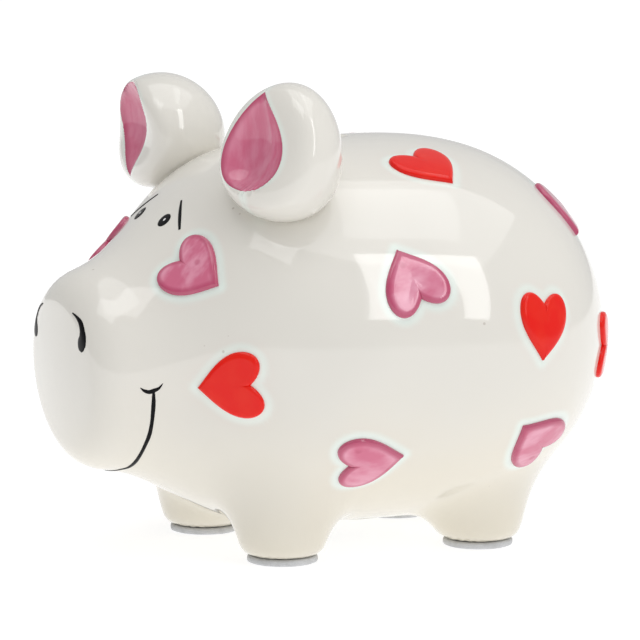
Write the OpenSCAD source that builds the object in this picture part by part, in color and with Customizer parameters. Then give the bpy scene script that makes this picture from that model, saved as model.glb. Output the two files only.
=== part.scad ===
/* [Body] */
// Half of the body's width
body_half_width = 68; // [64:1:72]
// Half of the rump's length, nose to tail
body_half_length = 50; // [47:1:53]
// Half of the body's height
body_half_height = 53.5; // [51:0.5:56]
// Thickness of the cast wall
wall = 4.5; // [3.5:0.5:5]

/* [Head] */
// Half of the head's width
head_half_width = 57; // [54:1:60]
// Half of the head's height
head_half_height = 51; // [49:1:53]
// How far the head melts into the body
head_blend = 40; // [30:2:44]

/* [Snout] */
// Radius of the snout's front
snout_r = 27; // [25:0.5:29]
// Radius of the snout's rounded edge
snout_edge = 7; // [5:0.5:9]
// How far the snout leans back at its lower edge, in degrees
snout_tilt = 4; // [0:1:8]

/* [Legs] */
// Distance from the middle plane to each leg's centre
leg_x = 26.7; // [25:0.5:28]
// Radius of a leg at its thickest
leg_r = 15.3; // [14:0.5:16.5]

/* [Ears] */
// Height of each ear's centre
ear_z = 115.5; // [113:0.5:118]
// Depth of the scooped hollow in each ear
ear_scoop = 5; // [3:0.5:7]

/* [Hearts] */
// Width of one raised heart
heart_w = 18.6; // [16:0.2:20]
// Height that a heart stands above the glaze
heart_rise = 1.3; // [0.8:0.1:1.6]

/* [Coin slot] */
// Length of the slot along the back
slot_length = 36; // [34:1:40]
// Width of the slot
slot_width = 5; // [4.6:0.2:6]

/* [Stopper] */
// Radius of the round hole in the belly
bore_r = 16; // [14:0.5:17]
// Clearance between the plug and its hole
plug_gap = 0.1; // [0.05:0.05:0.2]
// Thickness of the stopper's flange
flange_t = 2; // [1.5:0.5:2.5]

/* [Foot pads] */
// Radius of a foot pad
pad_r = 9.8; // [9:0.2:10.6]
// Thickness of a foot pad
pad_t = 2; // [1.5:0.5:3]

/* [Hidden] */
// Places measured from the middle of the bank's length, with the nose towards -Y
body_y = 30.2;
body_z = 60.3;
head_y = -21.3;
head_z = 60.5;
head_half_length = 38;
snout_y = -79.7;
snout_z = 52.5;
snout_depth = 28;
snout_dome = 140;
snout_blend = 26;
leg_y_front = -23.3;
leg_y_rear = 37.7;
leg_z = 26.8;
leg_half_height = 35.8;
leg_blend = 8;
foot_edge = 3;

ear_x = 37.5;
ear_y = -29.1;
ear_size = [19, 17, 19.5];
ear_lean = -10;
ear_roll = 6;
ear_taper = 0.1;
face_yaw = 15;
face_lean = -9;
face_at = 10.8;
scoop_half_width = 11.5;
scoop_half_height = 14.4;
ear_rim = 4;
fit_gap = 0.1;

slot_y = -10;
stopper_y = 6;
seat_z = 10.1;
seat_r = 19.5;
boss_r = 21;
boss_top = 16.6;
flange_r = 19;
plug_top = 16.2;
plug_wall = 2.4;
plug_floor = 2;
dish_r = 9.5;
dish_depth = 3.3;
grip_t = 2.4;
fine = 96;

around = 90;
down = 44;
inner_around = 40;
inner_down = 20;
outer_centre = [0, 5.4, 88];
inner_centre = [0, 5.4, 64];
reach_max = 130;
steps = 15;

ivory = [0.94, 0.92, 0.86];
pink = [0.80, 0.44, 0.55];
red = [0.89, 0.12, 0.08];
felt = [0.82, 0.82, 0.82];
clear_plug = [0.88, 0.88, 0.84];

// Each heart: name, colour, a point close to its centre, turn of its tip from straight down
hearts = [
    ["heart_cheek_left", pink, [29.8, -51.1, 83.6], 66],
    ["heart_chest_left", red, [44, -47.2, 53.2], -85],
    ["heart_back_left", red, [31.8, 19.4, 108.7], 23],
    ["heart_flank_left", pink, [59, 0.7, 81.7], -160],
    ["heart_rump_left", red, [66.8, 37.7, 67.5], -7],
    ["heart_belly_left", pink, [53, -8.6, 31], 102],
    ["heart_haunch_left", pink, [58, 39.8, 34.3], -127],
    ["heart_rump_top", pink, [26, 63.4, 95], -45],
    ["heart_rump_end", red, [42.5, 69.1, 57.8], 90],
    ["heart_cheek_right", pink, [-27, -53.1, 84], -66],
    ["heart_chest_right", pink, [-44, -47.2, 53.2], 85],
    ["heart_back_right", pink, [-31.8, 19.4, 108.7], -23],
    ["heart_flank_right", red, [-59, 0.7, 81.7], 160],
    ["heart_rump_right", pink, [-66.8, 37.7, 67.5], 7],
    ["heart_belly_right", red, [-53, -8.6, 31], -102],
    ["heart_haunch_right", red, [-58, 39.8, 34.3], 127],
];

// Smooth union of two distances over a width k
function melt(a, b, k) =
    let (h = max(0, min(1, 0.5 + 0.5 * (b - a) / k)))
    b * (1 - h) + a * h - k * h * (1 - h);

// Near distance from point q to an ellipsoid with half sizes r about the origin
function egg_distance(q, r) =
    let (a = norm([q.x / r.x, q.y / r.y, q.z / r.z]),
         b = norm([q.x / r.x ^ 2, q.y / r.y ^ 2, q.z / r.z ^ 2]))
    a * (a - 1) / max(b, 0.0001);

// Short drum with a rounded edge and a slightly domed front
function snout_distance(p) =
    let (y = p.y - snout_y, z = p.z - snout_z,
         lean_y = y * cos(snout_tilt) + z * sin(snout_tilt),
         lean_z = z * cos(snout_tilt) - y * sin(snout_tilt),
         from_axis = norm([p.x, lean_z]),
         depth = lean_y - from_axis ^ 2 / (2 * snout_dome),
         side = from_axis - (snout_r - snout_edge),
         end = abs(depth - snout_depth) - (snout_depth - snout_edge))
    min(max(side, end), 0) + norm([max(side, 0), max(end, 0)]) - snout_edge;

function leg_distance(p, y) =
    egg_distance([abs(p.x) - leg_x, p.y - y, p.z - leg_z], [leg_r, leg_r, leg_half_height]);

// The whole outer skin: body, head, snout and legs melted together, with flat feet
function skin(p) =
    let (body = egg_distance(p - [0, body_y, body_z],
                             [body_half_width, body_half_length, body_half_height]),
         head = egg_distance(p - [0, head_y, head_z],
                             [head_half_width, head_half_length, head_half_height]),
         legs = min(leg_distance(p, leg_y_front), leg_distance(p, leg_y_rear)),
         all = melt(melt(melt(body, head, head_blend), snout_distance(p), snout_blend),
                    legs, leg_blend))
    -melt(-all, p.z - pad_t, foot_edge);

function skin_normal(p) =
    let (e = 0.1,
         g = [skin(p + [e, 0, 0]) - skin(p - [e, 0, 0]),
              skin(p + [0, e, 0]) - skin(p - [0, e, 0]),
              skin(p + [0, 0, e]) - skin(p - [0, 0, e])])
    g / norm(g);

// Length along d from c to where shape f ends, found by halving the reach
function reach(f, c, d, low, high, n = steps) =
    n == 0 ? low :
    let (m = (low + high) / 2)
    f(c + m * d) < 0 ? reach(f, c, d, m, high, n - 1) : reach(f, c, d, low, m, n - 1);

function direction(turn, drop) = [sin(drop) * cos(turn), sin(drop) * sin(turn), cos(drop)];

// Faces of a stack of closed rings with a point at each end
function stack_faces(rings, count) =
    let (last = rings * count + 1)
    concat(
        [for (i = [0 : count - 1]) [0, 1 + (i + 1) % count, 1 + i]],
        [for (r = [0 : rings - 2], i = [0 : count - 1], half = [0, 1])
            let (a = 1 + r * count + i, b = 1 + r * count + (i + 1) % count)
            half == 0 ? [a, b, a + count] : [b, b + count, a + count]],
        [for (i = [0 : count - 1])
            [last, last - count + i, last - count + (i + 1) % count]]);

// Solid of shape f as seen from a point c inside it
module grown_solid(f, c, count, rings) {
    ray = function(d) c + reach(f, c, d, 0, reach_max) * d;
    points = concat(
        [ray([0, 0, 1])],
        [for (r = [1 : rings], i = [0 : count - 1])
            ray(direction(360 * i / count, 180 * r / (rings + 1)))],
        [ray([0, 0, -1])]);
    polyhedron(points, stack_faces(rings, count), convexity = 6);
}

// Hollow cast body with the coin slot, the stopper's seat and four flat feet
module body_shell() {
    color(ivory)
    difference() {
        union() {
            difference() {
                grown_solid(function(p) skin(p), outer_centre, around, down);
                grown_solid(function(p) skin(p) + wall, inner_centre, inner_around, inner_down);
            }
            translate([0, stopper_y, seat_z + 0.2])
                cylinder(h = boss_top - seat_z - 0.2, r = boss_r, $fn = fine);
            for (x = [-leg_x, leg_x], y = [leg_y_front, leg_y_rear])
                translate([x, y, pad_t]) cylinder(h = foot_edge, r = pad_r, $fn = fine);
        }
        translate([-slot_width / 2, slot_y - slot_length / 2, body_z])
            cube([slot_width, slot_length, body_z]);
        translate([0, stopper_y, 0]) cylinder(h = seat_z, r = seat_r, $fn = fine);
        translate([0, stopper_y, 0]) cylinder(h = boss_top + 1, r = bore_r, $fn = fine);
    }
}

// Half width of the ear's teardrop hollow at height w, widest low down and pointed at the top
function drop_half_width(w) =
    let (t = max(-1, min(1, w / scoop_half_height)))
    1.3 * scoop_half_width * sqrt(1 - t ^ 2) * sqrt((1 - t) / 2);

// Distance in front of the ear's face, which is flat apart from the hollow sunk in it
function face_distance(q) =
    let (x = q.x * cos(face_yaw) + q.y * sin(face_yaw),
         level_y = q.y * cos(face_yaw) - q.x * sin(face_yaw),
         y = level_y * cos(face_lean) + q.z * sin(face_lean),
         w = q.z * cos(face_lean) - level_y * sin(face_lean),
         half = drop_half_width(w),
         share = abs(x) < half ? (1 - (x / half) ^ 2) ^ 0.8 : 0)
    ear_scoop * half / scoop_half_width * share - face_at - y;

// Left ear: an egg that stops just short of the head, with a hollow face
module ear() {
    c = [ear_x, ear_y, ear_z];
    egg = function(p)
        let (q = p - c,
             x = q.x * cos(ear_roll) - q.z * sin(ear_roll),
             h = q.z * cos(ear_roll) + q.x * sin(ear_roll),
             y = q.y * cos(ear_lean) + h * sin(ear_lean),
             z = h * cos(ear_lean) - q.y * sin(ear_lean),
             k = 1 + ear_taper * z / ear_size.z,
             whole = egg_distance([x * k, y * k, z], ear_size))
        max(-melt(-whole, -face_distance(q), ear_rim), fit_gap - skin(p));
    ray = function(d) c + reach(egg, c, d, 0, reach_max) * d;
    count = 48;
    rings = 30;
    points = concat(
        [ray([0, 0, 1])],
        [for (r = [1 : rings], i = [0 : count - 1])
            ray(direction(360 * i / count, 180 * r / (rings + 1)))],
        [ray([0, 0, -1])]);
    polyhedron(points, stack_faces(rings, count), convexity = 4);
}

module ear_left() {
    color(ivory) ear();
}

module ear_right() {
    color(ivory) mirror([1, 0, 0]) ear();
}

// One heart outline point, one unit wide and pointing along +Y
function heart_point(t) = [
    0.5 * sin(t) ^ 3,
    -0.497 * (13 * cos(t) - 4.2 * cos(2 * t) - 1.8 * cos(3 * t) - 0.6 * cos(4 * t) + 2.4) / 13.6];

// Raised heart that follows the skin under it; its tip is turned from straight down
module heart(place, turn) {
    up = skin_normal(place);
    fall = [0, 0, -1] + up.z * up;
    down_way = fall / norm(fall);
    side_way = cross(up, down_way);
    tip_way = down_way * cos(turn) + side_way * sin(turn);
    across = cross(up, tip_way);
    on_skin = function(q)
        let (start = place + q.x * heart_w * across + q.y * heart_w * tip_way - 12 * up)
        start + reach(function(p) skin(p), start, up, 0, 24) * up;
    count = 28;
    // each ring: its share of the outline and its height above the skin
    rings = [[0.5, fit_gap], [1, fit_gap], [1, 0.6 * heart_rise],
             [0.93, 0.9 * heart_rise], [0.8, heart_rise], [0.4, heart_rise]];
    points = concat(
        [on_skin([0, 0]) + fit_gap * up],
        [for (g = rings, i = [0 : count - 1])
            on_skin(heart_point(360 * i / count) * g[0]) + g[1] * up],
        [on_skin([0, 0]) + heart_rise * up]);
    polyhedron(points, stack_faces(len(rings), count), convexity = 4);
}

module heart_named(name) {
    for (h = hearts)
        if (h[0] == name) color(h[1]) heart(h[2], h[3]);
}

// Soft plug with a flange, hollow on its inner side, with a grip bar sunk in a dish underneath
module stopper() {
    flange_z = seat_z - flange_t;
    floor_z = flange_z + dish_depth + plug_floor;
    color(clear_plug)
    translate([0, stopper_y, 0]) {
        difference() {
            union() {
                translate([0, 0, flange_z]) cylinder(h = flange_t, r = flange_r, $fn = fine);
                translate([0, 0, seat_z]) cylinder(h = plug_top - seat_z, r = bore_r - plug_gap, $fn = fine);
            }
            translate([0, 0, floor_z]) cylinder(h = plug_top, r = bore_r - plug_wall, $fn = fine);
            cylinder(h = flange_z + dish_depth, r = dish_r, $fn = fine);
        }
        translate([-dish_r - 0.5, -grip_t / 2, flange_z])
            cube([2 * dish_r + 1, grip_t, dish_depth + 0.5]);
    }
}

// Round stick-on pad under one foot
module foot_pad(x, y) {
    color(felt) translate([x, y, 0]) cylinder(h = pad_t, r = pad_r, $fn = fine);
}

module foot_pad_front_left() {
    foot_pad(leg_x, leg_y_front);
}

module foot_pad_front_right() {
    foot_pad(-leg_x, leg_y_front);
}

module foot_pad_rear_left() {
    foot_pad(leg_x, leg_y_rear);
}

module foot_pad_rear_right() {
    foot_pad(-leg_x, leg_y_rear);
}

body_shell();
ear_left();
ear_right();
stopper();
foot_pad_front_left();
foot_pad_front_right();
foot_pad_rear_left();
foot_pad_rear_right();
for (h = hearts) heart_named(h[0]);
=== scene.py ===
import math

import bmesh
import bpy
import numpy as np
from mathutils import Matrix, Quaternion, Vector


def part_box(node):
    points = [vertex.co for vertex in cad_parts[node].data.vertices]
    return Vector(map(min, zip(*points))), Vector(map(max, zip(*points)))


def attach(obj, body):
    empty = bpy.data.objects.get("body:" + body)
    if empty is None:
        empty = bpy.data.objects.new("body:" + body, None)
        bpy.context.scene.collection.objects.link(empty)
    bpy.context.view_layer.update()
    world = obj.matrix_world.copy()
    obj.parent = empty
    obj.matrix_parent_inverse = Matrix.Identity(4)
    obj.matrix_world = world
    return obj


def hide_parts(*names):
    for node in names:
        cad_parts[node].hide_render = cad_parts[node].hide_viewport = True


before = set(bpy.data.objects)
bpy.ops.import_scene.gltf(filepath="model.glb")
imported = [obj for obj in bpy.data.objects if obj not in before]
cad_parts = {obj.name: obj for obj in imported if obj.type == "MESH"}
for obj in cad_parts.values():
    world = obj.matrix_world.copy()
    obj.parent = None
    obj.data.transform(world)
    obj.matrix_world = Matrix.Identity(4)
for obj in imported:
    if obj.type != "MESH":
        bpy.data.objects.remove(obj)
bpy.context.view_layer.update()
mm = 0.001  # every length below is in millimetres, and this brings it to the frame's metres

# The pig's skin: two eggs, a drum and four legs that melt into each other

bodyEgg = {"centre": (0, 30.2, 60.75), "half": (68, 50, 53.05)}
headEgg = {"centre": (0, -21.3, 60.5), "half": (57, 38, 51), "melt": 40}
snoutDrum = {"front": -79.7, "height": 52.5, "radius": 27, "edge": 7, "tilt": 4, "halfLength": 28,
             "dome": 140, "melt": 26}
legEggs = {"x": 26.7, "yFront": -23.3, "yRear": 37.7, "height": 26.8, "radius": 15.3,
           "halfHeight": 35.8, "melt": 8, "footLevel": 2, "footEdge": 3}


def melt(a, b, width):
    h = np.clip(0.5 + 0.5 * (b - a) / width, 0, 1)
    return b * (1 - h) + a * h - width * h * (1 - h)


def eggDistance(q, half):
    half = np.array(half, float)
    a = np.linalg.norm(q / half, axis=1)
    b = np.linalg.norm(q / half ** 2, axis=1)
    return a * (a - 1) / np.maximum(b, 1e-4)


def snoutDistance(p):
    tilt = math.radians(snoutDrum["tilt"])
    y = p[:, 1] - snoutDrum["front"]
    z = p[:, 2] - snoutDrum["height"]
    leanY = y * math.cos(tilt) + z * math.sin(tilt)
    leanZ = z * math.cos(tilt) - y * math.sin(tilt)
    fromAxis = np.hypot(p[:, 0], leanZ)
    depth = leanY - fromAxis ** 2 / (2 * snoutDrum["dome"])
    side = fromAxis - (snoutDrum["radius"] - snoutDrum["edge"])
    end = np.abs(depth - snoutDrum["halfLength"]) - (snoutDrum["halfLength"] - snoutDrum["edge"])
    outside = np.hypot(np.maximum(side, 0), np.maximum(end, 0))
    return np.minimum(np.maximum(side, end), 0) + outside - snoutDrum["edge"]


def legDistance(p, y):
    q = np.stack([np.abs(p[:, 0]) - legEggs["x"], p[:, 1] - y, p[:, 2] - legEggs["height"]], 1)
    return eggDistance(q, (legEggs["radius"], legEggs["radius"], legEggs["halfHeight"]))


def skin(p):
    body = eggDistance(p - np.array(bodyEgg["centre"]), bodyEgg["half"])
    head = eggDistance(p - np.array(headEgg["centre"]), headEgg["half"])
    legs = np.minimum(legDistance(p, legEggs["yFront"]), legDistance(p, legEggs["yRear"]))
    whole = melt(melt(body, head, headEgg["melt"]), snoutDistance(p), snoutDrum["melt"])
    whole = melt(whole, legs, legEggs["melt"])
    return -melt(-whole, p[:, 2] - legEggs["footLevel"], legEggs["footEdge"])


def slopeOf(shape, p, step=0.05):
    sides = [shape(p + step * way) - shape(p - step * way) for way in np.eye(3)]
    return np.stack(sides, 1) / (2 * step)


def normalsOf(shape, p):
    slope = slopeOf(shape, p)
    return slope / np.linalg.norm(slope, axis=1, keepdims=True)


def settleOn(shape, p, rounds=3):
    for _ in range(rounds):
        slope = slopeOf(shape, p)
        p = p - (shape(p) / np.maximum((slope ** 2).sum(1), 1e-6))[:, None] * slope
    return p


def reachTo(shape, start, ways, longest=130, halvings=24):
    low = np.zeros(len(ways))
    high = np.full(len(ways), float(longest))
    for _ in range(halvings):
        middle = (low + high) / 2
        inside = shape(start + middle[:, None] * ways) < 0
        low = np.where(inside, middle, low)
        high = np.where(inside, high, middle)
    return low


# Small helpers for meshes

def placesOf(bm):
    return np.array([v.co for v in bm.verts], float).reshape(-1, 3)


def placeAll(bm, places):
    for vert, place in zip(bm.verts, places.tolist()):
        vert.co = place


def roundedCube(grid):
    bm = bmesh.new()
    bmesh.ops.create_cube(bm, size=2)
    bmesh.ops.subdivide_edges(bm, edges=bm.edges[:], cuts=grid - 1, use_grid_fill=True)
    ways = np.tan(placesOf(bm) * math.pi / 4)  # even steps on a ball
    return bm, ways / np.linalg.norm(ways, axis=1, keepdims=True)


def relax(bm, shape, rounds):  # evens out the faces while they stay on the shape
    for _ in range(rounds):
        bmesh.ops.smooth_vert(bm, verts=bm.verts[:], factor=0.5, use_axis_x=True, use_axis_y=True,
                              use_axis_z=True)
        placeAll(bm, settleOn(shape, placesOf(bm), 1))
    placeAll(bm, settleOn(shape, placesOf(bm), 2))


def spunShape(profile, steps=96):
    bm = bmesh.new()
    verts = [bm.verts.new((x, 0, z)) for x, z in profile]
    edges = [bm.edges.new(pair) for pair in zip(verts, verts[1:])]
    bmesh.ops.spin(bm, geom=verts + edges, cent=(0, 0, 0), axis=(0, 0, 1), dvec=(0, 0, 0),
                   angle=2 * math.pi, steps=steps, use_merge=True, use_duplicate=False)
    bmesh.ops.remove_doubles(bm, verts=bm.verts[:], dist=1e-5)
    bmesh.ops.recalc_face_normals(bm, faces=bm.faces[:])
    return bm


def objectFrom(bm, name, creaseAngle=40):
    bmesh.ops.scale(bm, vec=(mm, mm, mm), verts=bm.verts[:])
    mesh = bpy.data.meshes.new(name)
    bm.to_mesh(mesh)
    bm.free()
    mesh.shade_smooth()
    mesh.set_sharp_from_angle(angle=math.radians(creaseAngle))
    piece = bpy.data.objects.new(name, mesh)
    bpy.context.scene.collection.objects.link(piece)
    return piece


def finishPiece(piece, material, body, slot, *nodes):
    piece.data.materials.clear()
    piece.data.materials.append(material)
    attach(piece, body)
    if nodes:
        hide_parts(*nodes)


def cutAway(piece, cutter):
    cut = piece.modifiers.new("cut", "BOOLEAN")
    cut.operation = "DIFFERENCE"
    cut.solver = "MANIFOLD"
    cut.object = cutter
    shown = bpy.context.evaluated_depsgraph_get()
    mesh = bpy.data.meshes.new_from_object(piece.evaluated_get(shown))
    piece.modifiers.clear()
    piece.data = mesh
    bpy.data.objects.remove(cutter)


# Shader sums written as Python

class Sum:
    def __init__(self, finish, socket):
        self.finish = finish
        self.socket = socket

    def join(self, operation, other, swapped=False):
        pair = [other, self] if swapped else [self, other]
        return self.finish.node("ShaderNodeMath", {"operation": operation}, dict(enumerate(pair)))

    def __add__(self, other):
        return self.join("ADD", other)

    def __radd__(self, other):
        return self.join("ADD", other)

    def __sub__(self, other):
        return self.join("SUBTRACT", other)

    def __rsub__(self, other):
        return self.join("SUBTRACT", other, True)

    def __mul__(self, other):
        return self.join("MULTIPLY", other)

    def __rmul__(self, other):
        return self.join("MULTIPLY", other)

    def __truediv__(self, other):
        return self.join("DIVIDE", other)

    def __pow__(self, other):
        return self.join("POWER", other)

    def __abs__(self):
        return self.finish.node("ShaderNodeMath", {"operation": "ABSOLUTE"}, {0: self})

    def atLeast(self, other):
        return self.join("MAXIMUM", other)

    def atMost(self, other):
        return self.join("MINIMUM", other)


glazeGloss = {"ior": 1.45, "coatRoughness": 0.03}


class Finish:
    def __init__(self, name, roughness, coat=0.0):
        self.material = bpy.data.materials.new(name)
        self.material.use_nodes = True
        self.tree = self.material.node_tree
        self.shader = self.tree.nodes["Principled BSDF"]
        self.shader.inputs["Roughness"].default_value = roughness
        self.shader.inputs["Coat Weight"].default_value = coat
        self.shader.inputs["IOR"].default_value = glazeGloss["ior"]
        self.shader.inputs["Coat Roughness"].default_value = glazeGloss["coatRoughness"]
        self.place = self.node("ShaderNodeTexCoord", {}, {}, "Object")

    def node(self, kind, settings, inputs, output=0):
        made = self.tree.nodes.new(kind)
        for key, value in settings.items():
            setattr(made, key, value)
        for key, value in inputs.items():
            self.feed(made.inputs[key], value)
        return Sum(self, made.outputs[output])

    def feed(self, socket, value):
        if isinstance(value, Sum):
            self.tree.links.new(value.socket, socket)
        elif isinstance(value, tuple) and len(value) == 3 and socket.type == "RGBA":
            socket.default_value = (*value, 1)
        else:
            socket.default_value = value

    def mix(self, share, first, second):
        return self.node("ShaderNodeMix", {"data_type": "RGBA"}, {0: share, 6: first, 7: second}, 2)

    def step(self, value, low, high):
        return self.node("ShaderNodeMapRange", {"interpolation_type": "SMOOTHSTEP"},
                         {0: value, 1: low, 2: high, 3: 0.0, 4: 1.0})

    def noise(self, scale, detail=2.0, stretch=(1, 1, 1)):
        spot = self.node("ShaderNodeMapping", {}, {"Vector": self.place, "Scale": stretch})
        return self.node("ShaderNodeTexNoise", {}, {"Vector": spot, "Scale": scale, "Detail": detail})

    def dots(self, scale, stretch=(1, 1, 1)):
        spot = self.node("ShaderNodeMapping", {}, {"Vector": self.place, "Scale": stretch})
        return self.node("ShaderNodeTexVoronoi", {}, {"Vector": spot, "Scale": scale}, "Distance")

    def attribute(self, name):
        return self.node("ShaderNodeAttribute", {"attribute_name": name}, {}, "Fac")

    def along(self, axis):
        return self.node("ShaderNodeSeparateXYZ", {}, {0: self.place}, axis)

    def bump(self, height, strength, distance):
        made = self.node("ShaderNodeBump", {}, {"Height": height, "Strength": strength,
                                                "Distance": distance})
        self.feed(self.shader.inputs["Normal"], made)

    def colour(self, value):
        self.feed(self.shader.inputs["Base Color"], value)


ivory = {"clay": (0.83, 0.805, 0.745), "undersideShade": (0.80, 0.74, 0.60), "grey": (0.70, 0.68, 0.63),
         "halo": (0.85, 0.94, 0.88), "speck": (0.30, 0.22, 0.16), "smear": (0.80, 0.62, 0.55),
         "undersideShadeFrom": 0.058, "undersideShadeFull": 0.004, "cloudDrift": 0.030,  # heights in metres; the painted shade of the underside begins at the first and is full at the second
         "roughness": 0.08, "coat": 0.6}
pinkGlaze = {"brushed": (0.66, 0.15, 0.26), "rim": (0.49, 0.055, 0.14), "pale": (0.82, 0.36, 0.48),
             "roughness": 0.10, "coat": 0.6}
redGlaze = {"full": (0.85, 0.010, 0.005), "thin": (0.88, 0.030, 0.012), "roughness": 0.12,
            "shine": 0.35}
blackPaint = {"ink": (0.004, 0.004, 0.005), "worn": (0.015, 0.014, 0.014), "roughness": 0.32,
              "shine": 0.15}
whiteDot = {"paint": (0.80, 0.80, 0.80), "bright": (0.9, 0.9, 0.9), "roughness": 0.2, "coat": 0.5}
feltPad = {"shade": (0.58, 0.59, 0.61), "light": (0.78, 0.79, 0.80), "soiled": (0.42, 0.42, 0.42),
           "roughness": 0.9}
softVinyl = {"shade": (0.62, 0.61, 0.56), "light": (0.78, 0.77, 0.71), "roughness": 0.38, "coat": 0.1,
             "glow": 0.15, "glowReach": (0.002, 0.002, 0.0015)}


def ivoryColour(finish, withHalo):
    # painted shade: the glaze colour turns darker and warmer towards the bottom of the body, below a
    # cloudy edge
    height = finish.along("Z")
    cloud = finish.noise(28.0, 3.0)
    low = finish.step(height + (cloud - 0.5) * ivory["cloudDrift"], ivory["undersideShadeFrom"], ivory["undersideShadeFull"])
    tone = finish.mix(low * 0.75, ivory["clay"], ivory["undersideShade"])
    patch = finish.step(finish.noise(14.0, 2.0), 0.45, 0.75)
    tone = finish.mix(patch * 0.35, tone, ivory["grey"])
    smear = finish.step(finish.noise(19.0, 3.0, (1, 1, 0.6)), 0.66, 0.78)
    tone = finish.mix(smear * 0.16, tone, ivory["smear"])
    if withHalo:
        tone = finish.mix(finish.step(finish.attribute("halo"), 0.0, 0.75), tone, ivory["halo"])
    chosen = finish.step(finish.noise(70.0, 1.0), 0.60, 0.64)
    specks = finish.step(finish.dots(170.0), 0.085, 0.045) * chosen
    return finish.mix(specks * 0.35, tone, ivory["speck"])


def makeIvoryGlaze():
    finish = Finish("ivoryGlaze", ivory["roughness"], ivory["coat"])
    finish.colour(ivoryColour(finish, True))
    finish.bump(finish.noise(45.0, 1.0), 0.10, 0.0012)
    return finish.material


def makePinkGlaze():
    finish = Finish("pinkGlaze", pinkGlaze["roughness"], pinkGlaze["coat"])
    brush = finish.noise(240.0, 3.0, (1, 0.35, 0.5))
    tone = finish.mix(finish.step(brush, 0.35, 0.68), pinkGlaze["brushed"], pinkGlaze["pale"])
    spots = finish.step(finish.dots(210.0), 0.30, 0.12) * finish.step(finish.noise(120.0, 1.0), 0.5, 0.6)
    tone = finish.mix(spots * 0.5, tone, pinkGlaze["rim"])
    rim = finish.attribute("rim")
    finish.colour(finish.mix(rim * 0.85, tone, pinkGlaze["rim"]))
    finish.bump(brush, 0.12, 0.0006)
    return finish.material


def makeRedGlaze():
    finish = Finish("redGlaze", redGlaze["roughness"], 0.0)
    finish.shader.inputs["Specular IOR Level"].default_value = redGlaze["shine"]
    brush = finish.noise(160.0, 2.0)
    finish.colour(finish.mix(finish.step(brush, 0.4, 0.75) * 0.5, redGlaze["full"], redGlaze["thin"]))
    finish.bump(brush, 0.08, 0.0006)
    return finish.material


def makeBlackPaint():
    finish = Finish("blackPaint", blackPaint["roughness"], 0.0)
    finish.shader.inputs["Specular IOR Level"].default_value = blackPaint["shine"]
    finish.colour(finish.mix(finish.step(finish.noise(500.0, 2.0), 0.55, 0.7), blackPaint["ink"],
                             blackPaint["worn"]))
    return finish.material


def makeWhiteDot():
    finish = Finish("whiteDot", whiteDot["roughness"], whiteDot["coat"])
    finish.colour(finish.mix(finish.noise(600.0), whiteDot["paint"], whiteDot["bright"]))
    return finish.material


def makeFelt():
    finish = Finish("feltPad", feltPad["roughness"])
    fibre = finish.noise(2600.0, 4.0)
    soiled = finish.step(finish.noise(300.0), 0.45, 0.7) * 0.3
    fleece = finish.mix(fibre, feltPad["shade"], feltPad["light"])
    finish.colour(finish.mix(soiled, fleece, feltPad["soiled"]))
    finish.bump(fibre, 0.6, 0.0004)
    return finish.material


def makeVinyl():
    finish = Finish("softVinyl", softVinyl["roughness"], softVinyl["coat"])
    finish.colour(finish.mix(finish.noise(60.0, 3.0), softVinyl["shade"], softVinyl["light"]))
    finish.shader.inputs["Subsurface Weight"].default_value = softVinyl["glow"]
    finish.shader.inputs["Subsurface Radius"].default_value = softVinyl["glowReach"]
    finish.bump(finish.noise(900.0, 2.0), 0.15, 0.0003)
    return finish.material


ivoryGlazeMaterial = makeIvoryGlaze()
pinkGlazeMaterial = makePinkGlaze()
redGlazeMaterial = makeRedGlaze()
blackPaintMaterial = makeBlackPaint()
whiteDotMaterial = makeWhiteDot()
feltMaterial = makeFelt()
vinylMaterial = makeVinyl()
print("glazes mixed")

# Each raised heart's glaze, a place near its middle, the turn of its tip from straight down, and how
# narrow it is where that isn't the full width

hearts = {
    "heart_cheek_left": ("pink", (29.8, -51.1, 83.6), 66),
    "heart_chest_left": ("red", (44, -47.2, 53.2), -85),
    "heart_back_left": ("red", (31.8, 19.4, 108.7), 23),
    "heart_flank_left": ("pink", (59, 0.7, 81.7), -160),
    "heart_rump_left": ("red", (66.8, 37.7, 67.5), -7, 0.84),
    "heart_belly_left": ("pink", (53, -8.6, 31), 102),
    "heart_haunch_left": ("pink", (58, 39.8, 34.3), -127),
    "heart_rump_top": ("pink", (31, 62, 93.5), -45),
    "heart_rump_end": ("red", (42.5, 69.1, 57.8), 90),
    "heart_cheek_right": ("pink", (-27, -53.1, 84), -66),
}
# the side hearts have mirror images on the other side, in glazes of their own
for name, glaze in (("chest", "pink"), ("back", "pink"), ("flank", "red"), ("rump", "pink"),
                    ("belly", "red"), ("haunch", "red")):
    _, (x, y, z), turn, *_ = hearts["heart_" + name + "_left"]
    hearts["heart_" + name + "_right"] = (glaze, (-x, y, z), -turn)

heartShape = {"width": 18.6, "plump": 2.15, "steps": 120,
              "edge": [(0, -0.5), (0, 0.35), (0.1, 0.7), (0.35, 1.0), (0.75, 1.2), (1.3, 1.3),
                       (2.0, 1.32), (4.0, 1.3), (7.0, 1.3)]}
haloWidth = 3.2


def heartPoint(t):
    x = 0.5 * np.sign(np.sin(t)) * np.abs(np.sin(t)) ** heartShape["plump"]
    y = -0.497 * (13 * np.cos(t) - 4.2 * np.cos(2 * t) - 1.8 * np.cos(3 * t)
                  - 0.6 * np.cos(4 * t) + 2.4) / 13.6
    return np.stack([x, y], -1)


def frameAt(place, turn):
    place = settleOn(skin, np.array([place], float))
    up = normalsOf(skin, place)[0]
    fall = np.array([0, 0, -1]) + up[2] * up
    down = fall / np.linalg.norm(fall)
    side = np.cross(up, down)
    turn = math.radians(turn)
    tip = down * math.cos(turn) + side * math.sin(turn)
    return place[0], np.cross(up, tip), tip, up


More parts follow.
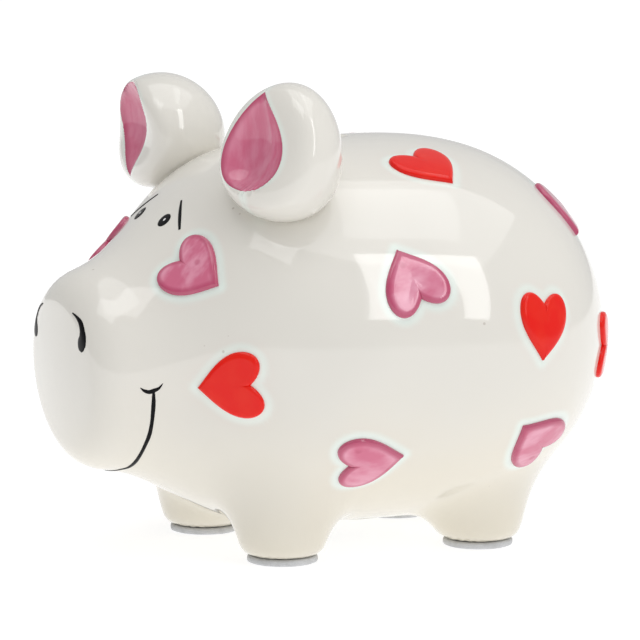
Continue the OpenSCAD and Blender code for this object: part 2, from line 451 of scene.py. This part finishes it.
patch = {"spunRadius": 10.0, "sunk": 12, "reach": 24,  # rays start this far under the skin
         "leastSquare": 0.5, "leastShare": 0.12,  # limits that keep the rings apart at sharp corners
         "rimWidth": 1.0, "rimFade": 0.9}  # the darker line where the glaze pools at the edge


def raisedPatch(name, outline, edge, steps, place, turn):
    nominal = patch["spunRadius"]  # a ring is as far in from this as it is to lie in from the outline
    deepest = edge[-1][0]
    profile = [(0, edge[0][1])] + [(nominal - inset, rise) for inset, rise in edge] + [(0, edge[-1][1])]
    bm = spunShape(profile, steps)
    flat = placesOf(bm)
    t = np.arctan2(flat[:, 1], flat[:, 0])
    radius = np.hypot(flat[:, 0], flat[:, 1])
    rimPoint = outline(t)
    ahead = outline(t + 1e-3) - outline(t - 1e-3)
    ahead /= np.maximum(np.linalg.norm(ahead, axis=1, keepdims=True), 1e-9)
    size = np.linalg.norm(rimPoint, axis=1)
    square = np.abs(rimPoint[:, 0] * ahead[:, 1] - rimPoint[:, 1] * ahead[:, 0]) / np.maximum(size, 1e-9)
    square = np.clip(square, patch["leastSquare"], 1)
    inset = nominal - radius
    band = np.clip(1 - np.minimum(inset, deepest) / (size * square), patch["leastShare"], 1)
    inner = np.clip(radius / (nominal - deepest), 0, 1)
    share = np.where(inset > deepest + 1e-6, band * inner, band)
    spot = rimPoint * share[:, None]
    place, across, tip, up = frameAt(place, turn)
    start = place + spot[:, :1] * across + spot[:, 1:] * tip - patch["sunk"] * up
    places = start + reachTo(skin, start, np.tile(up, (len(start), 1)), patch["reach"])[:, None] * up
    places += flat[:, 2:] * normalsOf(skin, places)
    placeAll(bm, places)
    bmesh.ops.recalc_face_normals(bm, faces=bm.faces[:])
    rim = np.clip(1 - (inset - patch["rimWidth"]) / patch["rimFade"], 0, 1)
    piece = objectFrom(bm, name, 60)
    piece.data.attributes.new("rim", "FLOAT", "POINT").data.foreach_set("value", rim.astype(np.float32))
    return piece


def heartOutline(narrow=1.0):
    return lambda t: heartPoint(t) * heartShape["width"] * np.array([narrow, 1])


for name, (glaze, place, turn, *narrow) in hearts.items():
    piece = raisedPatch(name + ".raised", heartOutline(*narrow), heartShape["edge"], heartShape["steps"],
                        place, turn)
    finishPiece(piece, pinkGlazeMaterial if glaze == "pink" else redGlazeMaterial, "bank",
                glaze + "_glaze", name)
print("hearts raised")

# The cast body: outer skin, hollow, coin slot and the stopper's seat

shell = {"grid": 88, "innerGrid": 26, "wall": 4.5, "centre": (0, 5.4, 88), "innerCentre": (0, 5.4, 64),
         "smoothing": 10}
coinSlot = {"y": -10, "length": 36, "width": 5, "startHeight": 60.0, "reach": 70,
            "lip": [(0, -22), (0, -1.7), (0.18, -1.0), (0.55, -0.5), (1.2, -0.14), (2.6, 0.35), (3.2, 5)]}
stopperSeat = {"y": 6, "seatLevel": 10.1, "seatRadius": 19.5, "boreRadius": 16, "bossRadius": 21,
               "bossTop": 16.6}


def hollowShape(p):
    return skin(p) + shell["wall"]


def makeOuterSkin():
    bm, ways = roundedCube(shell["grid"])
    centre = np.array(shell["centre"])
    placeAll(bm, centre + reachTo(skin, centre, ways)[:, None] * ways)
    relax(bm, skin, shell["smoothing"])
    bmesh.ops.recalc_face_normals(bm, faces=bm.faces[:])
    return objectFrom(bm, "body_shell.cast", 35)


def makeHollow():
    bm, ways = roundedCube(shell["innerGrid"])
    centre = np.array(shell["innerCentre"])
    placeAll(bm, centre + reachTo(hollowShape, centre, ways)[:, None] * ways)
    bmesh.ops.recalc_face_normals(bm, faces=bm.faces[:])
    hollow = objectFrom(bm, "hollow")
    boss = spunShape([(0, -5), (stopperSeat["bossRadius"], -5),
                      (stopperSeat["bossRadius"], stopperSeat["bossTop"]), (0, stopperSeat["bossTop"])])
    bmesh.ops.translate(boss, vec=(0, stopperSeat["y"], 0), verts=boss.verts[:])
    cutAway(hollow, objectFrom(boss, "boss"))
    return hollow


def makeSlotCutter():
    bm = bmesh.new()
    radius = coinSlot["width"] / 2
    straight = coinSlot["length"] / 2 - radius
    bmesh.ops.create_circle(bm, cap_ends=False, segments=48, radius=radius)
    for vert in bm.verts:
        vert.co.y += straight if vert.co.y > -1e-4 else -straight
    long = [e for e in bm.edges if e.calc_length() > 5]
    bmesh.ops.subdivide_edges(bm, edges=long, cuts=24)
    outline = placesOf(bm)
    spine = np.stack([outline[:, 0] * 0, np.clip(outline[:, 1], -straight, straight)], 1)
    outward = (outline[:, :2] - spine) / radius
    ring = bm.verts[:]
    edges = bm.edges[:]
    for number, (out, rise) in enumerate(coinSlot["lip"]):
        if number:
            made = bmesh.ops.extrude_edge_only(bm, edges=edges)["geom"]
            edges = [g for g in made if isinstance(g, bmesh.types.BMEdge) and
                     all(v in set(made) for v in g.verts)]
            byPlace = {(round(v.co.x, 4), round(v.co.y, 4)): v
                       for v in made if isinstance(v, bmesh.types.BMVert)}
            ring = [byPlace[(round(v.co.x, 4), round(v.co.y, 4))] for v in ring]
        flat = outline[:, :2] + outward * out + np.array([0, coinSlot["y"]])
        start = np.column_stack([flat, np.full(len(flat), coinSlot["startHeight"])])
        rays = np.tile([0, 0, 1.0], (len(flat), 1))
        top = coinSlot["startHeight"] + reachTo(skin, start, rays, coinSlot["reach"])
        for vert, x, y, z in zip(ring, flat[:, 0], flat[:, 1], top + rise):
            vert.co = (x, y, z)
    bmesh.ops.holes_fill(bm, edges=[e for e in bm.edges if e.is_boundary], sides=0)
    bmesh.ops.triangulate(bm, faces=[f for f in bm.faces if len(f.verts) > 4])
    bmesh.ops.recalc_face_normals(bm, faces=bm.faces[:])
    return objectFrom(bm, "slotCutter")


def makeSeatCutter():
    r, bore = stopperSeat["seatRadius"], stopperSeat["boreRadius"]
    level, top = stopperSeat["seatLevel"], stopperSeat["bossTop"]
    bm = spunShape([(0, -1), (r + 0.4, -1), (r, level - 0.3), (r - 0.3, level), (bore + 0.3, level),
                    (bore, level + 0.3), (bore, top - 0.4), (bore + 0.5, top + 1), (0, top + 1)])
    bmesh.ops.translate(bm, vec=(0, stopperSeat["y"], 0), verts=bm.verts[:])
    return objectFrom(bm, "seatCutter")


def heartDistance(places):
    nearest = np.full(len(places), 1e3)
    t = np.linspace(0, 2 * math.pi, 90, endpoint=False)
    for _, place, turn, *narrow in hearts.values():
        outline = heartOutline(*narrow)(t)
        place, across, tip, up = frameAt(place, turn)
        away = places - place
        close = np.linalg.norm(away, axis=1) < 20
        if not close.any():
            continue
        spot = np.stack([away[close] @ across, away[close] @ tip], 1)
        gap = np.linalg.norm(spot[:, None] - outline[None], axis=2).min(1)
        nearest[close] = np.minimum(nearest[close], gap)
    return nearest


body = makeOuterSkin()
cutAway(body, makeHollow())
cutAway(body, makeSlotCutter())
cutAway(body, makeSeatCutter())
body.data.shade_smooth()
body.data.set_sharp_from_angle(angle=math.radians(35))
places = np.array([v.co for v in body.data.vertices], float) / mm
halo = np.clip(1 - heartDistance(places) / haloWidth, 0, 1)
body.data.attributes.new("halo", "FLOAT", "POINT").data.foreach_set("value", halo.astype(np.float32))
finishPiece(body, ivoryGlazeMaterial, "bank", "ivory_glaze", "body_shell")
print("body cast with", len(body.data.polygons), "faces")

# The ears: eggs pressed onto the head, each with a pink hollow at its front

ears = {
    "ear_left": {"centre": (36.7, -27.6, 115.8), "half": (19, 16.1, 19.2), "lean": -12.5, "roll": 5.8,
                 "taper": 0.14, "side": 1, "faceYaw": 24, "faceLean": -17, "faceAt": 10.6,
                 "faceBend": 1.0, "hollowMiddle": (-3.0, 0.8), "hollowWidth": 11.5,
                 "hollowHeight": 14.0, "hollowDepth": 5, "tipUp": 1},
    "ear_right": {"centre": (38.2, -31.5, 114.7), "half": (19.1, 18.2, 16.7), "lean": -8, "roll": 6.9,
                  "taper": 0.07, "side": -1, "faceYaw": 4, "faceLean": 2, "faceAt": 10.0,
                  "faceBend": 2.4, "hollowMiddle": (1.4, 0.8), "hollowWidth": 11.3,
                  "hollowHeight": 13.6, "hollowDepth": 4.5, "tipUp": -1},
}
earGrid = 76
earSink = -0.3  # how far the ear's foot lies under the glaze
earSmoothing = 6
earRim = 4.0  # how softly the front of an ear turns into its hollow
earReach = 40  # further than any ear goes from its own middle
teardropFullness = 1.3  # a teardrop's half width, against the width that its formula gives
hollowRoundness = 1.2  # how the floor of the hollow curves up to its edge


def earFrame(ear):  # the front's own directions: across it, back into the ear, and up it
    yaw = math.radians(ear["faceYaw"])
    lean = math.radians(ear["faceLean"])
    upright = np.array([0, 0, 1])
    level = np.array([-math.sin(yaw), math.cos(yaw), 0])
    across = np.array([math.cos(yaw), math.sin(yaw), 0])
    back = level * math.cos(lean) + upright * math.sin(lean)
    rise = upright * math.cos(lean) - level * math.sin(lean)
    return across, back, rise


def earShape(ear):
    centre = np.array(ear["centre"])
    lean = math.radians(ear["lean"])
    roll = math.radians(ear["roll"])
    across, back, rise = earFrame(ear)

    def shape(p):
        q = p - centre
        x = q[:, 0] * math.cos(roll) - q[:, 2] * math.sin(roll)
        h = q[:, 2] * math.cos(roll) + q[:, 0] * math.sin(roll)
        y = q[:, 1] * math.cos(lean) + h * math.sin(lean)
        z = h * math.cos(lean) - q[:, 1] * math.sin(lean)
        k = 1 + ear["taper"] * z / ear["half"][2]
        egg = eggDistance(np.stack([x * k, y * k, z], 1), ear["half"])
        sideways = q @ across - ear["hollowMiddle"][0]
        height = (q @ rise - ear["hollowMiddle"][1]) * ear["tipUp"]
        t = np.clip(height / ear["hollowHeight"], -1, 1)
        half = teardropFullness * ear["hollowWidth"] * np.sqrt((1 - t ** 2) * (1 - t) / 2)
        share = np.clip(1 - (sideways / np.maximum(half, 0.1)) ** 2, 0, 1) ** hollowRoundness
        scoop = ear["hollowDepth"] * np.minimum(half / ear["hollowWidth"], 1) * share
        bend = ear["faceBend"] * (1 - t ** 2) ** 2
        front = scoop + bend - ear["faceAt"] - q @ back
        return np.maximum(-melt(-egg, -front, earRim), earSink - skin(p))
    return shape


def makeEarGlaze(name, ear):
    finish = Finish(name + "Glaze", ivory["roughness"], ivory["coat"])
    across, back, rise = earFrame(ear)
    x = finish.along("X") * (ear["side"] / mm) - ear["centre"][0]
    y = finish.along("Y") * (1 / mm) - ear["centre"][1]
    z = finish.along("Z") * (1 / mm) - ear["centre"][2]
    sideways = x * across[0] + y * across[1] + z * across[2] - ear["hollowMiddle"][0]
    depth = x * back[0] + y * back[1] + z * back[2]
    height = (x * rise[0] + y * rise[1] + z * rise[2] - ear["hollowMiddle"][1]) * float(ear["tipUp"])
    t = (height / ear["hollowHeight"]).atLeast(-1.0).atMost(1.0)
    half = ((1 - t * t) * (1 - t) * 0.5) ** 0.5 * (teardropFullness * ear["hollowWidth"])
    inside = half - abs(sideways)
    mask = finish.step(inside, -0.1, 0.2) * finish.step(depth, 0.0, -0.5)
    streak = finish.noise(260.0, 3.0, (1, 1, 0.3))  # brush strokes run up the hollow
    pink = finish.mix(finish.step(streak, 0.32, 0.7) * 0.5, pinkGlaze["brushed"], pinkGlaze["pale"])
    rim = finish.step(inside, 2.6, 0.3)
    pink = finish.mix(rim * 0.8, pink, pinkGlaze["rim"])
    glow = finish.step(inside, -2.6, -0.1) * finish.step(depth, 0.0, -0.5)
    base = finish.mix(glow * 0.7, ivoryColour(finish, False), ivory["halo"])
    finish.colour(finish.mix(mask, base, pink))
    finish.bump(finish.noise(45.0, 1.0), 0.08, 0.0012)
    return finish.material


for name, ear in ears.items():
    bm, ways = roundedCube(earGrid)
    centre = np.array(ear["centre"])
    placeAll(bm, centre + reachTo(earShape(ear), centre, ways, earReach)[:, None] * ways)
    relax(bm, earShape(ear), earSmoothing)
    places = placesOf(bm)
    places[:, 0] *= ear["side"]
    placeAll(bm, places)
    bmesh.ops.recalc_face_normals(bm, faces=bm.faces[:])
    piece = objectFrom(bm, name + ".egg", 50)
    finishPiece(piece, makeEarGlaze(name, ear), "bank", "ivory_glaze", name)
print("ears pressed on")

# The painted face: brush strokes and two eyes, a hair's breadth above the glaze

face = {"strokeSteps": 60, "strokeRise": 0.16, "boldness": 1.3}
nostril = [(10.8, -79.4, 71.1, 0.3), (13.2, -79.2, 70.2, 0.7), (15.3, -79.0, 68.8, 1.3),
           (16.5, -79.0, 66.8, 1.7), (16.9, -79.1, 65.0, 2.6), (16.7, -79.1, 63.6, 3.2),
           (16.6, -79.2, 62.2, 2.8), (16.75, -79.3, 61.3, 1.6), (16.8, -79.3, 60.9, 0.1)]
smileHalf = [(30.6, -63.8, 51.2, 0.5), (30.1, -63.6, 48.3, 0.9), (29.4, -63.5, 45.3, 0.9),
             (28.2, -63.3, 42.3, 0.8), (26.1, -63.2, 38.3, 0.9), (23.3, -63.4, 34.8, 0.8),
             (20.1, -63.5, 31.7, 0.8), (16.0, -63.6, 28.8, 0.9), (12.6, -64.0, 27.1, 0.8),
             (9.7, -65.0, 26.2, 0.7), (5.0, -65.8, 25.2, 0.6)]
dimple = [(29.3, -67.2, 52.1, 0.15), (29.6, -66.0, 51.2, 0.7), (30.1, -64.8, 50.9, 0.9),
          (30.6, -63.7, 51.3, 0.9), (31.2, -62.6, 51.9, 0.6), (31.9, -61.6, 53.3, 0.15)]
brow = [(8.2, -45.6, 100.3, 0.5), (11.1, -47.1, 98.0, 0.8), (14.1, -48.6, 95.7, 0.85),
        (17.0, -50.0, 93.4, 0.6)]
eye = {"place": (8.5, -50.9, 95.1), "turn": -8, "halfWidth": 2.1, "halfLength": 2.3, "dot": 0.36}


def mirrored(stroke):
    return [(-x, y, z, width) for x, y, z, width in stroke]


def smoothPath(stroke, count):
    points = np.array(stroke, float)
    steps = np.linalg.norm(np.diff(points[:, :3], axis=0), axis=1)
    marks = np.concatenate([[0], np.cumsum(steps)])
    wanted = np.linspace(0, marks[-1], count)
    part = np.clip(np.searchsorted(marks, wanted, "right") - 1, 0, len(points) - 2)
    slopes = np.gradient(points, marks, axis=0)
    span = (marks[part + 1] - marks[part])[:, None]
    s = ((wanted - marks[part])[:, None]) / span
    return ((2 * s ** 3 - 3 * s ** 2 + 1) * points[part] + (s ** 3 - 2 * s ** 2 + s) * span * slopes[part]
            + (3 * s ** 2 - 2 * s ** 3) * points[part + 1] + (s ** 3 - s ** 2) * span * slopes[part + 1])


def brushStroke(name, stroke, material):
    count = face["strokeSteps"]
    bm = bmesh.new()
    bmesh.ops.create_cone(bm, cap_ends=True, segments=12, radius1=1, radius2=1, depth=2)
    long = [e for e in bm.edges if abs(e.verts[0].co.z - e.verts[1].co.z) > 1]
    bmesh.ops.subdivide_edges(bm, edges=long, cuts=count)
    flat = placesOf(bm)
    path = smoothPath(stroke, count + 2)
    ring = np.rint((flat[:, 2] + 1) / 2 * (count + 1)).astype(int)
    centre = settleOn(skin, path[:, :3])
    up = normalsOf(skin, centre)
    ahead = np.gradient(centre, axis=0)
    across = np.cross(up, ahead)
    across /= np.linalg.norm(across, axis=1, keepdims=True)
    width = np.maximum(path[:, 3] * face["boldness"], 0.05)
    places = centre[ring] + across[ring] * (flat[:, 0] * width[ring] / 2)[:, None]
    places = settleOn(skin, places)
    rise = face["strokeRise"] * np.minimum(1, width / 0.5)
    places += normalsOf(skin, places) * (flat[:, 1] * rise[ring])[:, None]
    placeAll(bm, places)
    bmesh.ops.recalc_face_normals(bm, faces=bm.faces[:])
    piece = objectFrom(bm, name, 60)
    finishPiece(piece, material, "bank", "ivory_glaze")


def ovalOutline(halfWidth, halfLength):
    return lambda t: np.stack([halfWidth * np.sin(t), -halfLength * np.cos(t)], -1)


smile = smileHalf + [(0, -66.2, 24.9, 0.6)] + mirrored(smileHalf)[::-1]
brushStroke("smile", smile, blackPaintMaterial)
for side, turned in (("left", list), ("right", mirrored)):
    brushStroke("nostril_" + side, turned(nostril), blackPaintMaterial)
    brushStroke("dimple_" + side, turned(dimple), blackPaintMaterial)
    brushStroke("brow_" + side, turned(brow), blackPaintMaterial)
    sign = 1 if side == "left" else -1
    x, y, z = eye["place"]
    iris = raisedPatch("eye_" + side, ovalOutline(eye["halfWidth"], eye["halfLength"]),
                       [(0, -0.1), (0, 0.05), (0.2, 0.13), (0.6, 0.16)], 48, (sign * x, y, z),
                       sign * eye["turn"])
    finishPiece(iris, blackPaintMaterial, "bank", "ivory_glaze")
    glint = raisedPatch("eye_dot_" + side, ovalOutline(eye["dot"], eye["dot"] * 1.4),
                        [(0, 0.1), (0, 0.18), (0.1, 0.22), (0.3, 0.23)], 32,
                        (sign * (x + 0.1), y, z + 0.2), sign * eye["turn"])
    finishPiece(glint, whiteDotMaterial, "bank", "ivory_glaze")
print("face painted")

# Foot pads and the stopper

pad = {"radius": 9.9, "thickness": 1.9}
stopper = {"flangeRadius": 19, "flange": 2, "plugRadius": 15.9, "plugTop": 16.2, "wall": 2.4,
           "floor": 2, "dishRadius": 9.5, "dishDepth": 3.3, "grip": 2.4}


def makePad(name):
    low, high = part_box(name)
    r, t = pad["radius"], pad["thickness"]
    bm = spunShape([(0, 0), (r - 0.7, 0), (r - 0.2, 0.2), (r, 0.6), (r, t - 0.6), (r - 0.2, t - 0.2),
                    (r - 0.7, t), (0, t)])
    middle = (low + high) / 2 / mm
    bmesh.ops.translate(bm, vec=(middle.x, middle.y, 0), verts=bm.verts[:])
    piece = objectFrom(bm, name + ".felt", 50)
    finishPiece(piece, feltMaterial, "bank", "foot_felt", name)


def makeStopper():
    seat, r, plug, dish = (stopperSeat["seatLevel"], stopper["flangeRadius"], stopper["plugRadius"],
                           stopper["dishRadius"])
    under = seat - stopper["flange"]
    deep = under + stopper["dishDepth"]
    floor = deep + stopper["floor"]
    inner = plug - stopper["wall"]
    bm = spunShape([(0, deep), (dish - 0.6, deep), (dish, deep - 0.5), (dish, under + 0.5),
                    (dish + 0.5, under), (14.0, under), (14.4, under + 0.35), (15.0, under + 0.35),
                    (15.4, under), (r - 0.8, under), (r - 0.2, under + 0.25), (r, under + 0.8),
                    (r, seat - 0.3), (r - 0.3, seat), (plug + 0.2, seat), (plug, seat + 0.2),
                    (plug, stopper["plugTop"] - 0.7), (plug - 0.7, stopper["plugTop"]),
                    (inner + 0.5, stopper["plugTop"]), (inner, stopper["plugTop"] - 0.5),
                    (inner, floor + 0.5), (inner - 0.5, floor), (0, floor)])
    bar = bmesh.ops.create_cube(bm, size=1)["verts"]
    bmesh.ops.scale(bm, vec=(2 * dish + 0.8, stopper["grip"], stopper["dishDepth"]), verts=bar)
    bmesh.ops.translate(bm, vec=(0, 0, (under + deep) / 2 + 0.15), verts=bar)
    barEdges = [e for e in bm.edges if all(v in set(bar) for v in e.verts)]
    bmesh.ops.bevel(bm, geom=barEdges, offset=0.6, segments=3, profile=0.5, affect="EDGES", material=-1,
                    offset_type="OFFSET")
    bmesh.ops.translate(bm, vec=(0, stopperSeat["y"], 0), verts=bm.verts[:])
    piece = objectFrom(bm, "stopper.plug", 35)
    finishPiece(piece, vinylMaterial, "stopper", "stopper_vinyl", "stopper")


for name in sorted(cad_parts):
    if name.startswith("foot_pad"):
        makePad(name)
makeStopper()
print("pads and stopper made")

# Studio: pale floor, soft boxes and the camera

studio = {"target": (-0.00196, 0.00173, 0.06255), "place": (1.28272, -0.60178, 0.26680), "lens": 283.77,
          "world": 0.57, "worldFront": 0.27, "lightsAimAt": (0, 0, 0.06), "floorSize": 12,
          "paper": (0.36, 0.36, 0.36), "paperLight": (0.38, 0.38, 0.38), "paperGlow": 0.76}
softBoxes = {  # where it hangs, width, height, roll in degrees, watts; each faces the pig
    "sideBox": ((1.89, 0.58, 1.50), 0.37, 1.82, -15, 7.4),
    "overheadBox": ((0.14, 0.66, 2.03), 1.3, 0.26, 0, 0.9),
    "frontBox": ((0.5, -1.0, 2.4), 1.3, 1.1, 0, 6),
    "ceiling": ((0.2, 0.4, 3.2), 3.4, 3.4, 0, 33),
}


def aimed(thing, place, target, roll=0):
    thing.location = place
    turn = (Vector(target) - Vector(place)).to_track_quat("-Z", "Y")
    thing.rotation_euler = (turn @ Quaternion((0, 0, 1), math.radians(roll))).to_euler()
    bpy.context.scene.collection.objects.link(thing)


def makeStudio():
    world = bpy.data.worlds.new("studioWhite")
    world.use_nodes = True
    background = world.node_tree.nodes["Background"]
    background.inputs["Color"].default_value = (1, 1, 1, 1)
    ways = world.node_tree.nodes.new("ShaderNodeTexCoord")
    split = world.node_tree.nodes.new("ShaderNodeSeparateXYZ")
    fade = world.node_tree.nodes.new("ShaderNodeMapRange")  # dimmer in front of the snout
    world.node_tree.links.new(ways.outputs["Generated"], split.inputs[0])
    world.node_tree.links.new(split.outputs["Y"], fade.inputs["Value"])
    fade.inputs["From Min"].default_value = -1
    fade.inputs["From Max"].default_value = 0
    fade.inputs["To Min"].default_value = studio["world"] - studio["worldFront"]
    fade.inputs["To Max"].default_value = studio["world"]
    world.node_tree.links.new(fade.outputs["Result"], background.inputs["Strength"])
    bpy.context.scene.world = world
    for name, (place, width, height, roll, watts) in softBoxes.items():
        light = bpy.data.lights.new(name, "AREA")
        light.shape = "RECTANGLE"
        light.size = width
        light.size_y = height
        light.energy = watts
        aimed(bpy.data.objects.new(name, light), place, studio["lightsAimAt"], roll)
    bm = bmesh.new()
    bmesh.ops.create_grid(bm, x_segments=8, y_segments=8, size=studio["floorSize"])
    mesh = bpy.data.meshes.new("floor")
    bm.to_mesh(mesh)
    bm.free()
    floor = bpy.data.objects.new("floor", mesh)
    bpy.context.scene.collection.objects.link(floor)
    paper = Finish("floorPaper", 0.9)
    paper.colour(paper.mix(paper.noise(3.0), studio["paper"], studio["paperLight"]))
    paper.shader.inputs["Emission Color"].default_value = (1, 1, 1, 1)
    paper.shader.inputs["Emission Strength"].default_value = studio["paperGlow"]
    mesh.materials.append(paper.material)
    view = bpy.data.cameras.new("camera")
    view.lens = studio["lens"]
    view.sensor_width = 36
    view.clip_start = 0.05
    view.clip_end = 60
    camera = bpy.data.objects.new("camera", view)
    aimed(camera, studio["place"], studio["target"])
    bpy.context.scene.camera = camera
    bpy.context.scene.view_settings.view_transform = "Standard"


makeStudio()
print("studio lit")
